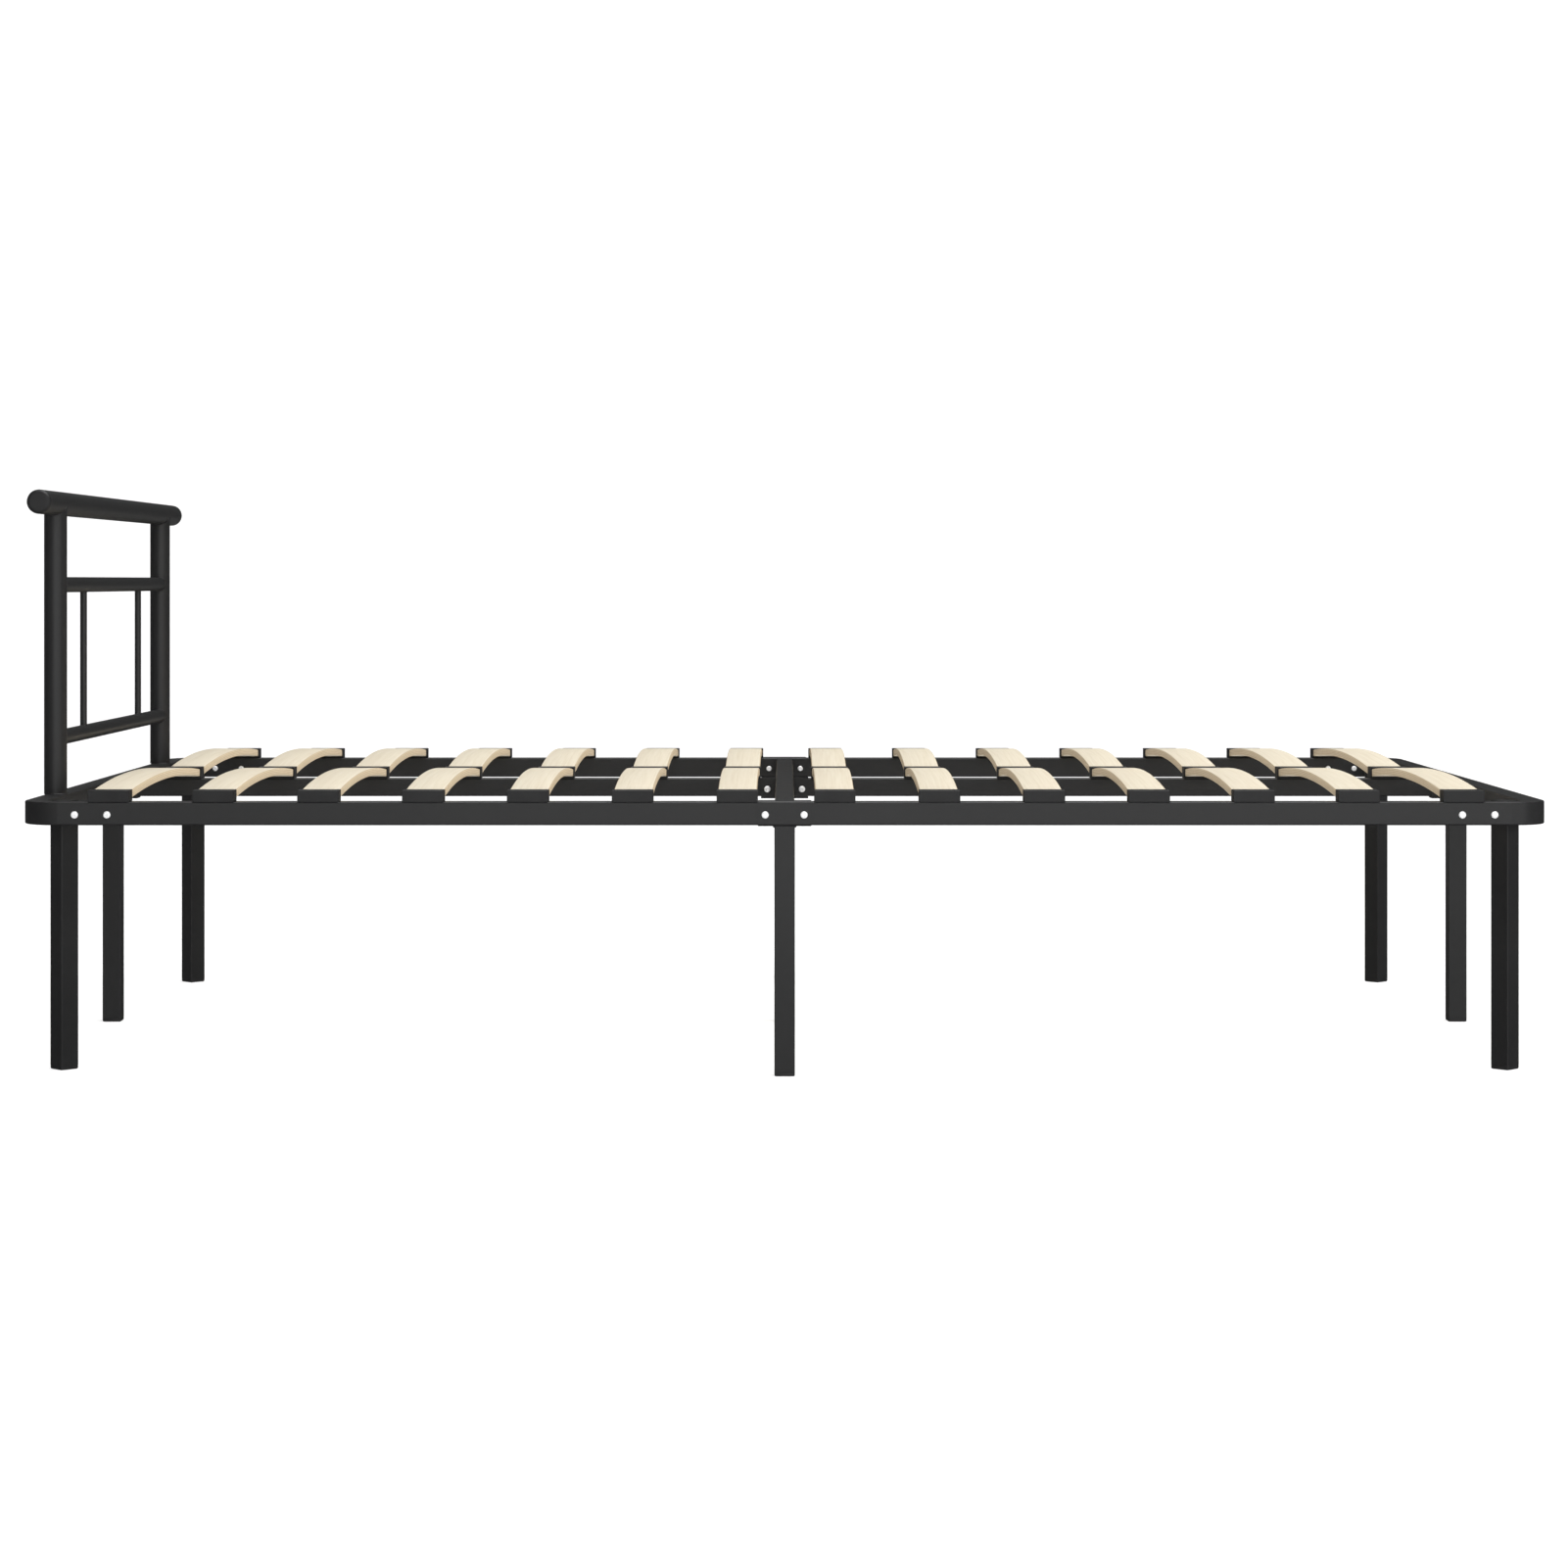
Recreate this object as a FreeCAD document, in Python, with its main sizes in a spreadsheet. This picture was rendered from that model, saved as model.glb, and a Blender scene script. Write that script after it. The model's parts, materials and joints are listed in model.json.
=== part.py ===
import FreeCAD, Part
import os
import Sketcher

# Bolted metal bed frame with a tubular headboard and two rows of sprung slats.
# Frame: origin on the floor at the middle of the bounding box, +X from head to foot, +Z up, millimetres.
# The left side of the bed is -Y and the right side is +Y.

SIZES = {
    # bed frame, outside sizes; the headboard overhangs the head end, so the frame sits off the origin
    "bed_length": 2085,
    "bed_width": 1240,
    "bed_centre_x": 2.35,
    "rail_underside": 341.2,
    # square tube of the side rails and end rails
    "rail_size": 31.5,
    "rail_wall": 1.5,
    "rail_corner": 2,
    "bend_radius": 38,
    "seam_x": 943,
    # tube inside each corner joint
    "insert_size": 28.3,
    "insert_corner": 1.6,
    "insert_length": 90,
    # sleeve around each joint in the middle of a side
    "sleeve_size": 33.8,
    "sleeve_wall": 1.1,
    "sleeve_corner": 3.1,
    "sleeve_length": 72.6,
    # centre beam, cross beam and the U-shaped brackets that the centre beam drops into
    "beam_size": 27,
    "beam_corner": 2,
    "beam_drop": 1.2,
    "beam_end_gap": 1,
    "bracket_size": 30,
    "bracket_side": 1.4,
    "bracket_floor": 3.3,
    "bracket_bend": 2.5,
    "bracket_length": 22,
    # legs and their foot plugs
    "leg_size": 28,
    "leg_wall": 1.2,
    "leg_corner": 1.5,
    "leg_lid": 2,
    "end_leg_x": 1028,
    "corner_leg_x": 994.6,
    "corner_leg_y": 541,
    "corner_leg_drop": 2,
    "plug_flange": 5,
    "plug_insert": 18,
    "plug_slack": 0.2,
    # headboard
    "post_x": 1030.2,
    "post_y": 425,
    "post_diameter": 32,
    "top_rail_diameter": 34,
    "top_rail_length": 1072,
    "top_rail_height": 783,
    "round_wall": 1.5,
    "end_plug_cap": 7,
    "end_plug_dome": 5.5,
    "end_plug_insert": 14,
    "cross_rail_diameter": 22,
    "middle_rail_height": 668,
    "lower_rail_height": 451,
    "bar_diameter": 10,
    "bar_wall": 1,
    "bar_y": 222,
    # slats
    "slat_width": 53,
    "slat_thickness": 11,
    "slat_rise": 13.6,
    "slat_pitch": 142.5,
    "first_slat_x": 66.4,
    "slat_shift": 1.9,
    "slat_end_play": 0.5,
    "slat_tip_gap": 2.5,
    "slat_base_gap": 1.3,
    # plastic slat caps
    "cap_width": 56.1,
    "cap_depth": 28.5,
    "centre_cap_depth": 16,
    "cap_height": 16,
    "cap_end_wall": 2,
    "cap_floor": 1.2,
    "cap_pocket_width": 53.4,
    "cap_pocket_height": 13.8,
    "cap_round": 1.2,
    # bolts and sleeve nuts
    "bolt_diameter": 6,
    "bolt_length": 24,
    "head_diameter": 10.5,
    "head_height": 3,
    "head_edge": 1.1,
    "head_crown": 6.5,
    "key_size": 4,
    "key_depth": 1.6,
    "barrel_diameter": 8,
    "barrel_length": 26,
    "barrel_bore": 6.1,
    "barrel_bore_depth": 23,
    "bolt_hole": 8.2,
    "bolt_drop": 1.4,
    "corner_bolt_offset": 22,
    "middle_bolt_x": 26.4,
}

SLATS_PER_HALF = 7
SMALLEST_CUT = 0.1
TOLERANCE = 0.01
HEAD, FOOT = -1, 1
LEFT, RIGHT = -1, 1
SIDE_NAMES = {LEFT: "left", RIGHT: "right"}
END_NAMES = {HEAD: "head", FOOT: "foot"}

# Heights and distances worked out from the driving sizes.
HALF_LENGTH = "Sizes.bed_length / 2"
RAIL_Y = "(Sizes.bed_width - Sizes.rail_size) / 2"
RAIL_X = "(Sizes.bed_length - Sizes.rail_size) / 2"
RAIL_TOP = "(Sizes.rail_underside + Sizes.rail_size)"
RAIL_MIDDLE = "(Sizes.rail_underside + Sizes.rail_size / 2)"
BOLT_HEIGHT = f"({RAIL_MIDDLE} - Sizes.bolt_drop)"
BEAM_TOP = f"({RAIL_TOP} - Sizes.beam_drop)"
BEAM_MIDDLE = f"({BEAM_TOP} - Sizes.beam_size / 2)"
BRACKET_BOLT = "(Sizes.middle_bolt_x - Sizes.leg_size / 2)"
BEAM_END_BOLT = f"({HALF_LENGTH} - Sizes.rail_size - {BRACKET_BOLT})"
SIDE_LEG_Y = "((Sizes.bed_width - Sizes.leg_size) / 2)"
SLAT_LENGTH = "(Sizes.bed_width / 2 - Sizes.cap_end_wall - Sizes.slat_end_play - Sizes.slat_tip_gap)"

doc = FreeCAD.newDocument("MetalBedFrame")
sheet = doc.addObject("Spreadsheet::Sheet", "Sizes")
for row, (alias, number) in enumerate(SIZES.items(), start=1):
    sheet.set(f"A{row}", alias)
    sheet.set(f"B{row}", str(number))
    sheet.setAlias(f"B{row}", alias)
doc.recompute()

nodes = []


# ---------------------------------------------------------------- helpers

def value(expression):
    """The number that an expression over the sheet's sizes gives now."""
    return float(sheet.evalExpression(str(expression)))


def new_body(label):
    body = doc.addObject("PartDesign::Body", label)
    body.Label = label
    return body


def place(item, across="0", along="0", up="0", turn=None):
    """Puts an object in the bed's frame: across is X from the bed's centre, along is Y, up is Z."""
    if turn is not None:
        item.Placement = FreeCAD.Placement(FreeCAD.Vector(), turn)
    item.setExpression("Placement.Base.x", f"Sizes.bed_centre_x + ({across})")
    item.setExpression("Placement.Base.y", along)
    item.setExpression("Placement.Base.z", up)


def turned(x_degrees=0, y_degrees=0, z_degrees=0):
    """Rotation by fixed angles about the bed's X, then Y, then Z axes."""
    return FreeCAD.Rotation(z_degrees, y_degrees, x_degrees)


def new_sketch(body, name, role, turn_degrees=0, lift="0"):
    """A sketch on one of the body's own origin planes, turned in its plane and lifted off it."""
    sketch = body.newObject("Sketcher::SketchObject", f"{body.Name}_{name}")
    plane = next(item for item in body.Origin.OriginFeatures if item.Role == role)
    sketch.AttachmentSupport = (plane, [""])
    sketch.MapMode = "FlatFace"
    turn = FreeCAD.Rotation(FreeCAD.Vector(0, 0, 1), turn_degrees)
    sketch.AttachmentOffset = FreeCAD.Placement(FreeCAD.Vector(), turn)
    sketch.setExpression("AttachmentOffset.Base.z", lift)
    return sketch


def dimension(sketch, kind, places, size):
    """A driving constraint bound to an expression over the sheet."""
    index = sketch.addConstraint(Sketcher.Constraint(kind, *places, value(size)))
    sketch.setExpression(f"Constraints[{index}]", size)


def pin_point(sketch, item, point, across, up):
    """Fixes a point of the sketch by its distances from the sketch's origin."""
    dimension(sketch, "DistanceX", (-1, 1, item, point), across)
    dimension(sketch, "DistanceY", (-1, 1, item, point), up)


def add_circle(sketch, diameter, across="0", up="0"):
    centre = FreeCAD.Vector(value(across), value(up), 0)
    circle = Part.Circle(centre, FreeCAD.Vector(0, 0, 1), value(diameter) / 2)
    item = sketch.addGeometry(circle)
    dimension(sketch, "Diameter", (item,), diameter)
    pin_point(sketch, item, 3, across, up)


def add_outline(sketch, corners):
    """A closed outline of straight lines; corners are pairs of expressions."""
    points = [FreeCAD.Vector(value(across), value(up), 0) for across, up in corners]
    count = len(points)
    lines = [
        sketch.addGeometry(Part.LineSegment(points[index], points[(index + 1) % count]))
        for index in range(count)
    ]
    for index in range(count):
        following = lines[(index + 1) % count]
        sketch.addConstraint(Sketcher.Constraint("Coincident", lines[index], 2, following, 1))
    for line, (across, up) in zip(lines, corners):
        pin_point(sketch, line, 1, across, up)


def add_rectangle(sketch, low_across, high_across, low_up, high_up):
    corners = [(low_across, low_up), (high_across, low_up), (high_across, high_up), (low_across, high_up)]
    add_outline(sketch, corners)


def add_rounded_square(sketch, size, corner):
    """A square with rounded corners, centred on the sketch's origin."""
    half = value(size) / 2
    radius = value(corner)
    flat = half - radius
    ends = [
        ((-flat, -half), (flat, -half)),
        ((half, -flat), (half, flat)),
        ((flat, half), (-flat, half)),
        ((-half, flat), (-half, -flat)),
    ]
    centres = [(flat, -flat), (flat, flat), (-flat, flat), (-flat, -flat)]
    lines = []
    arcs = []
    for index, (start, end) in enumerate(ends):
        line = Part.LineSegment(FreeCAD.Vector(*start, 0), FreeCAD.Vector(*end, 0))
        lines.append(sketch.addGeometry(line))
        circle = Part.Circle(FreeCAD.Vector(*centres[index], 0), FreeCAD.Vector(0, 0, 1), radius)
        start_angle = (index - 1) * QUARTER_TURN
        arcs.append(sketch.addGeometry(Part.ArcOfCircle(circle, start_angle, start_angle + QUARTER_TURN)))
    for index in range(4):
        following = lines[(index + 1) % 4]
        sketch.addConstraint(Sketcher.Constraint("Tangent", lines[index], 2, arcs[index], 1))
        sketch.addConstraint(Sketcher.Constraint("Tangent", arcs[index], 2, following, 1))
    for index in (0, 2):
        sketch.addConstraint(Sketcher.Constraint("Horizontal", lines[index]))
        sketch.addConstraint(Sketcher.Constraint("Vertical", lines[index + 1]))
    for arc in arcs[1:]:
        sketch.addConstraint(Sketcher.Constraint("Equal", arcs[0], arc))
    sketch.addConstraint(Sketcher.Constraint("Symmetric", arcs[0], 3, arcs[2], 3, -1, 1))
    dimension(sketch, "Radius", (arcs[0],), corner)
    dimension(sketch, "DistanceX", (lines[3], 1, lines[1], 1), size)
    dimension(sketch, "DistanceY", (lines[0], 1, lines[2], 1), size)


def add_pad(body, sketch, length, centred=False):
    pad = body.newObject("PartDesign::Pad", f"{sketch.Name}_pad")
    pad.Profile = (sketch, [""])
    pad.setExpression("Length", length)
    pad.SideType = "Symmetric" if centred else "One side"


def add_pocket(body, sketch, length=None, flipped=False):
    """A pocket to a length, or right through both ways; it has to take material away."""
    doc.recompute()
    before = body.Shape.Volume
    pocket = body.newObject("PartDesign::Pocket", f"{sketch.Name}_pocket")
    pocket.Profile = (sketch, [""])
    if length is None:
        pocket.Type = "ThroughAll"
        pocket.SideType = "Symmetric"
    else:
        pocket.setExpression("Length", length)
        pocket.Reversed = flipped
    doc.recompute()
    if body.Shape.Volume > before - SMALLEST_CUT:
        raise RuntimeError(f"{pocket.Name} cuts nothing")


def add_revolution(body, sketch, axis):
    revolution = body.newObject("PartDesign::Revolution", f"{sketch.Name}_turned")
    revolution.Profile = (sketch, [""])
    revolution.ReferenceAxis = (sketch, [axis])
    revolution.Angle = 360


def add_fillet(body, name, wanted, radius):
    """Rounds each edge of the body that the test wants."""
    doc.recompute()
    sharp = body.Tip
    names = [f"Edge{number}" for number, edge in enumerate(body.Shape.Edges, start=1) if wanted(edge)]
    rounding = body.newObject("PartDesign::Fillet", f"{body.Name}_{name}")
    rounding.Base = (sharp, names)
    rounding.setExpression("Radius", radius)


def drill(body, name, holes):
    """Round cuts right through, along the body's own Y; holes are (across, up, diameter)."""
    sketch = new_sketch(body, name, "XZ_Plane")
    for across, up, diameter in holes:
        add_circle(sketch, diameter, across, up)
    add_pocket(body, sketch)


def below_the_axis(*distances):
    """Bolt holes a little below a side tube's middle, at these distances along it."""
    return [("Sizes.bolt_drop", distance, "Sizes.bolt_hole") for distance in distances]


def square_tube(label, size, wall, corner, length, centred=False):
    """A hollow square tube along the body's own Z."""
    body = new_body(label)
    section = new_sketch(body, "section", "XY_Plane")
    add_rounded_square(section, size, corner)
    add_rounded_square(section, f"{size} - 2 * {wall}", f"{corner} - {wall}")
    add_pad(body, section, length, centred)
    return body


def round_tube(label, diameter, wall, length, centred=False):
    """A hollow round tube along the body's own Z."""
    body = new_body(label)
    section = new_sketch(body, "section", "XY_Plane")
    add_circle(section, diameter)
    add_circle(section, f"{diameter} - 2 * {wall}")
    add_pad(body, section, length, centred)
    return body


def group(label, source, places):
    """One node that holds several copies of the same small piece."""
    mixed_group(label, [(source, place_of_copy) for place_of_copy in places])


def mixed_group(label, copies):
    """One node that holds copies of small pieces; copies are (source, place) pairs."""
    links = []
    for number, (source, (across, along, up, turn)) in enumerate(copies, start=1):
        link = doc.addObject("App::Link", f"{label}_{number:02d}")
        link.LinkedObject = source
        link.LinkTransform = False
        place(link, across, along, up, turn)
        links.append(link)
    compound = doc.addObject("Part::Compound", f"{label}_set")
    compound.Label = label
    compound.Links = links
    nodes.append(compound)


QUARTER_TURN = FreeCAD.Units.parseQuantity("90 deg").getValueAs("rad").Value
ALONG_X = turned(y_degrees=90)
ALONG_Y = turned(x_degrees=-90)
HALF_TURN = turned(z_degrees=180)


# ---------------------------------------------------------------- frame rails

def end_rail(end):
    """Tube bent round both corners of one end, with a short return into each side."""
    body = new_body(f"{END_NAMES[end]}_end_rail")
    radius = "Sizes.bend_radius"
    reach = f"({RAIL_X} - Sizes.seam_x)"
    path = new_sketch(body, "path", "XY_Plane")
    side, bend, reach_now = value(RAIL_Y), value(radius), value(reach)
    straight = Part.LineSegment(FreeCAD.Vector(0, 0, 0), FreeCAD.Vector(0, side - bend, 0))
    circle = Part.Circle(FreeCAD.Vector(bend, side - bend, 0), FreeCAD.Vector(0, 0, 1), bend)
    across = path.addGeometry(straight)
    corner = path.addGeometry(Part.ArcOfCircle(circle, QUARTER_TURN, 2 * QUARTER_TURN))
    back = path.addGeometry(
        Part.LineSegment(FreeCAD.Vector(bend, side, 0), FreeCAD.Vector(reach_now, side, 0))
    )
    path.addConstraint(Sketcher.Constraint("Coincident", across, 1, -1, 1))
    path.addConstraint(Sketcher.Constraint("Vertical", across))
    path.addConstraint(Sketcher.Constraint("Tangent", across, 2, corner, 2))
    path.addConstraint(Sketcher.Constraint("Tangent", corner, 1, back, 1))
    path.addConstraint(Sketcher.Constraint("Horizontal", back))
    dimension(path, "Radius", (corner,), radius)
    pin_point(path, back, 2, reach, RAIL_Y)

    section = new_sketch(body, "section", "XZ_Plane")
    add_rounded_square(section, "Sizes.rail_size", "Sizes.rail_corner")
    add_rounded_square(
        section, "Sizes.rail_size - 2 * Sizes.rail_wall", "Sizes.rail_corner - Sizes.rail_wall"
    )
    pipe = body.newObject("PartDesign::AdditivePipe", f"{body.Name}_pipe")
    pipe.Profile = (section, [""])
    pipe.Spine = (path, [f"Edge{number}" for number in (1, 2, 3)])
    mirrored = body.newObject("PartDesign::Mirrored", f"{body.Name}_mirrored")
    mirrored.Originals = [pipe]
    plane = next(item for item in body.Origin.OriginFeatures if item.Role == "XZ_Plane")
    mirrored.MirrorPlane = (plane, [""])
    body.Tip = mirrored
    hole_x = f"{RAIL_X} - (Sizes.seam_x + Sizes.corner_bolt_offset)"
    drill(body, "bolt_holes", [(hole_x, "-Sizes.bolt_drop", "Sizes.bolt_hole")])
    place(body, f"{end} * {RAIL_X}", "0", RAIL_MIDDLE, HALF_TURN if end == FOOT else turned())
    nodes.append(body)


def side_rail(end, side):
    """Half of one side rail, from the corner seam to the middle of the bed."""
    label = f"side_rail_{END_NAMES[end]}_{SIDE_NAMES[side]}"
    gap = "Sizes.beam_end_gap / 2"
    length = f"(Sizes.seam_x - {gap})"
    body = square_tube(label, "Sizes.rail_size", "Sizes.rail_wall", "Sizes.rail_corner", length)
    start = f"-{length} - {gap}" if end == HEAD else gap
    corner_bolt = f"{end} * (Sizes.seam_x - Sizes.corner_bolt_offset) - ({start})"
    middle_bolt = f"{end} * Sizes.middle_bolt_x - ({start})"
    drill(body, "bolt_holes", below_the_axis(corner_bolt, middle_bolt))
    place(body, start, f"{side} * {RAIL_Y}", RAIL_MIDDLE, ALONG_X)
    nodes.append(body)


def corner_inserts():
    """Short tubes hidden inside the four corner joints, bolted on both sides of the seam."""
    wall = "Sizes.rail_wall"
    insert = square_tube(
        "corner_insert", "Sizes.insert_size", wall, "Sizes.insert_corner", "Sizes.insert_length", True
    )
    offset = "Sizes.corner_bolt_offset"
    drill(insert, "bolt_holes", below_the_axis(offset, f"-{offset}"))
    places = [
        (f"{end} * Sizes.seam_x", f"{side} * {RAIL_Y}", RAIL_MIDDLE, ALONG_X)
        for end in (HEAD, FOOT)
        for side in (LEFT, RIGHT)
    ]
    group("corner_joint_inserts", insert, places)


def side_joint_sleeves():
    """Sleeves that join the two halves of each side rail and end the cross beam."""
    sleeve = square_tube(
        "side_joint_sleeve",
        "Sizes.sleeve_size",
        "Sizes.sleeve_wall",
        "Sizes.sleeve_corner",
        "Sizes.sleeve_length",
        True,
    )
    bolt = "Sizes.middle_bolt_x"
    drill(sleeve, "bolt_holes", below_the_axis(bolt, f"-{bolt}"))
    places = [("0", f"{side} * {RAIL_Y}", RAIL_MIDDLE, ALONG_X) for side in (LEFT, RIGHT)]
    group("side_joint_sleeves", sleeve, places)


# ---------------------------------------------------------------- middle beams

def cross_beam():
    """Tube across the bed under the gap in the slats, between the two side sleeves."""
    length = f"2 * {RAIL_Y} - Sizes.sleeve_size"
    body = square_tube(
        "cross_beam", "Sizes.beam_size", "Sizes.rail_wall", "Sizes.beam_corner", length, True
    )
    place(body, "0", "0", BEAM_MIDDLE, ALONG_Y)
    nodes.append(body)


def centre_beam(end):
    """Half of the beam along the middle of the bed, from the cross beam to the end rail."""
    gap = "Sizes.beam_end_gap"
    inner = f"(Sizes.beam_size / 2 + {gap})"
    outer = f"({HALF_LENGTH} - Sizes.rail_size - {gap})"
    length = f"{outer} - {inner}"
    label = f"centre_beam_{END_NAMES[end]}"
    body = square_tube(label, "Sizes.beam_size", "Sizes.rail_wall", "Sizes.beam_corner", length)
    start = f"-{outer}" if end == HEAD else inner
    end_bolt = f"{end} * {BEAM_END_BOLT} - ({start})"
    middle_bolt = f"{end} * Sizes.middle_bolt_x - ({start})"
    below_axis = f"({BEAM_MIDDLE} - {BOLT_HEIGHT})"
    holes = [(below_axis, end_bolt, "Sizes.bolt_hole"), (below_axis, middle_bolt, "Sizes.bolt_hole")]
    drill(body, "bolt_holes", holes)
    place(body, start, "0", BEAM_MIDDLE, ALONG_X)
    nodes.append(body)


def centre_beam_brackets():
    """Open-topped brackets that hold the centre beam's ends, beside the middle leg and the end rails."""
    bracket = new_body("centre_beam_bracket")
    half_height = "Sizes.rail_size / 2"
    half_width = "Sizes.bracket_size / 2"
    inside = f"({half_width} - Sizes.bracket_side)"
    floor = f"({half_height} - Sizes.bracket_floor)"
    section = new_sketch(bracket, "section", "XY_Plane")
    corners = [
        (f"-{half_height}", f"-{half_width}"),
        (f"-{half_height}", f"-{inside}"),
        (floor, f"-{inside}"),
        (floor, inside),
        (f"-{half_height}", inside),
        (f"-{half_height}", half_width),
        (half_height, half_width),
        (half_height, f"-{half_width}"),
    ]
    add_outline(section, corners)
    add_pad(bracket, section, "Sizes.bracket_length")

    def lower_corner(edge):
        lowest = abs(edge.BoundBox.XMin - value(half_height)) < TOLERANCE
        return lowest and edge.BoundBox.ZLength > TOLERANCE

    add_fillet(bracket, "bends", lower_corner, "Sizes.bracket_bend")
    drill(bracket, "bolt_hole", below_the_axis(BRACKET_BOLT))
    backwards = turned(y_degrees=90, z_degrees=180)
    middle_face = "Sizes.leg_size / 2"
    end_face = f"({HALF_LENGTH} - Sizes.rail_size)"
    places = [
        (middle_face, "0", RAIL_MIDDLE, ALONG_X),
        (f"-{middle_face}", "0", RAIL_MIDDLE, backwards),
        (end_face, "0", RAIL_MIDDLE, backwards),
        (f"-{end_face}", "0", RAIL_MIDDLE, ALONG_X),
    ]
    group("centre_beam_brackets", bracket, places)


# ---------------------------------------------------------------- legs

def leg(label, across, along, top):
    """Straight leg with its sides parallel to the bed, open at both ends."""
    length = f"{top} - Sizes.plug_flange"
    body = square_tube(label, "Sizes.leg_size", "Sizes.leg_wall", "Sizes.leg_corner", length)
    place(body, across, along, "Sizes.plug_flange")
    nodes.append(body)


def corner_leg(end, side):
    """Leg turned by an eighth of a turn inside a corner, flattened where it meets the end rail."""
    body = new_body(f"{END_NAMES[end]}_leg_{SIDE_NAMES[side]}")
    length = f"({RAIL_TOP} - Sizes.corner_leg_drop - Sizes.plug_flange)"
    outside = new_sketch(body, "outside", "XY_Plane", turn_degrees=45)
    add_rounded_square(outside, "Sizes.leg_size", "Sizes.leg_corner")
    add_pad(body, outside, length)
    hollow = new_sketch(body, "hollow", "XY_Plane", turn_degrees=45)
    add_rounded_square(
        hollow, "Sizes.leg_size - 2 * Sizes.leg_wall", "Sizes.leg_corner - Sizes.leg_wall"
    )
    add_pocket(body, hollow, f"{length} - Sizes.leg_lid", flipped=True)
    notch = new_sketch(body, "notch", "XZ_Plane")
    face = f"({HALF_LENGTH} - Sizes.rail_size - Sizes.corner_leg_x)"
    low = "(Sizes.rail_underside - Sizes.plug_flange)"
    add_rectangle(notch, face, f"{face} + Sizes.leg_size", low, f"{low} + Sizes.rail_size")
    add_pocket(body, notch)
    turn = turned() if end == FOOT else HALF_TURN
    across = f"{end} * Sizes.corner_leg_x"
    place(body, across, f"{side} * Sizes.corner_leg_y", "Sizes.plug_flange", turn)
    nodes.append(body)


def foot_plugs():
    """Plastic plugs pushed into the bottom of every leg."""
    plug = new_body("foot_plug")
    flange = new_sketch(plug, "flange", "XY_Plane")
    add_rounded_square(flange, "Sizes.leg_size", "Sizes.leg_corner")
    add_pad(plug, flange, "Sizes.plug_flange")
    insert = new_sketch(plug, "insert", "XY_Plane")
    inside = "Sizes.leg_size - 2 * Sizes.leg_wall - Sizes.plug_slack"
    add_rounded_square(insert, inside, "Sizes.leg_corner - Sizes.leg_wall")
    add_pad(plug, insert, "Sizes.plug_flange + Sizes.plug_insert")
    places = [
        (f"{end} * Sizes.corner_leg_x", f"{side} * Sizes.corner_leg_y", "0", turned(z_degrees=45))
        for end in (HEAD, FOOT)
        for side in (LEFT, RIGHT)
    ]
    places += [(f"{end} * Sizes.end_leg_x", "0", "0", turned()) for end in (HEAD, FOOT)]
    places += [("0", f"{side} * {SIDE_LEG_Y}", "0", turned()) for side in (LEFT, 0, RIGHT)]
    group("foot_plugs", plug, places)


# ---------------------------------------------------------------- headboard

def headboard_post(side):
    """Round post that stands on the end rail, shaped at its top to the round top rail."""
    length = f"(Sizes.top_rail_height - {RAIL_TOP})"
    label = f"headboard_post_{SIDE_NAMES[side]}"
    body = round_tube(label, "Sizes.post_diameter", "Sizes.round_wall", length)
    drill(body, "saddle", [("0", length, "Sizes.top_rail_diameter")])
    place(body, "-Sizes.post_x", f"{side} * Sizes.post_y", RAIL_TOP)
    nodes.append(body)


def headboard_top_rail():
    """Thick round tube across the top of both posts, open at its ends for the plugs."""
    diameter = "Sizes.top_rail_diameter"
    length = "Sizes.top_rail_length"
    body = round_tube("headboard_top_rail", diameter, "Sizes.round_wall", length, True)
    place(body, "-Sizes.post_x", "0", "Sizes.top_rail_height", ALONG_Y)
    nodes.append(body)


def headboard_cross_rail(name, height):
    """Thinner round tube between the posts, shaped at both ends to their round walls."""
    length = "(2 * Sizes.post_y)"
    diameter = "Sizes.cross_rail_diameter"
    body = round_tube(f"headboard_{name}_rail", diameter, "Sizes.round_wall", length)
    saddles = [("0", "0", "Sizes.post_diameter"), ("0", length, "Sizes.post_diameter")]
    drill(body, "saddles", saddles)
    place(body, "-Sizes.post_x", "-Sizes.post_y", height, ALONG_Y)
    nodes.append(body)


def headboard_bars():
    """Thin upright bars between the lower and middle rails."""
    length = "(Sizes.middle_rail_height - Sizes.lower_rail_height)"
    bar = round_tube("headboard_bar", "Sizes.bar_diameter", "Sizes.bar_wall", length)
    rail = "Sizes.cross_rail_diameter"
    drill(bar, "saddles", [("0", "0", rail), ("0", length, rail)])
    foot = "Sizes.lower_rail_height"
    places = [("-Sizes.post_x", f"{side} * Sizes.bar_y", foot, turned()) for side in (LEFT, RIGHT)]
    group("headboard_bars", bar, places)


def top_rail_end_plugs():
    """Domed plastic plugs that close the two ends of the top rail."""
    plug = new_body("top_rail_end_plug")
    radius = "(Sizes.top_rail_diameter / 2)"
    bore = f"({radius} - Sizes.round_wall - Sizes.plug_slack / 2)"
    insert = "-Sizes.end_plug_insert"
    cap = "Sizes.end_plug_cap"
    profile = new_sketch(plug, "profile", "XZ_Plane")
    corners = [("0", insert), (bore, insert), (bore, "0"), (radius, "0"), (radius, cap), ("0", cap)]
    add_outline(profile, corners)
    add_revolution(plug, profile, "V_Axis")

    def outer_rim(edge):
        return abs(edge.BoundBox.ZMin - value(cap)) < TOLERANCE and edge.BoundBox.ZLength < TOLERANCE

    add_fillet(plug, "dome", outer_rim, "Sizes.end_plug_dome")
    end_y = "Sizes.top_rail_length / 2"
    height = "Sizes.top_rail_height"
    places = [
        ("-Sizes.post_x", end_y, height, ALONG_Y),
        ("-Sizes.post_x", f"-{end_y}", height, turned(x_degrees=90)),
    ]
    group("top_rail_end_plugs", plug, places)


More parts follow.
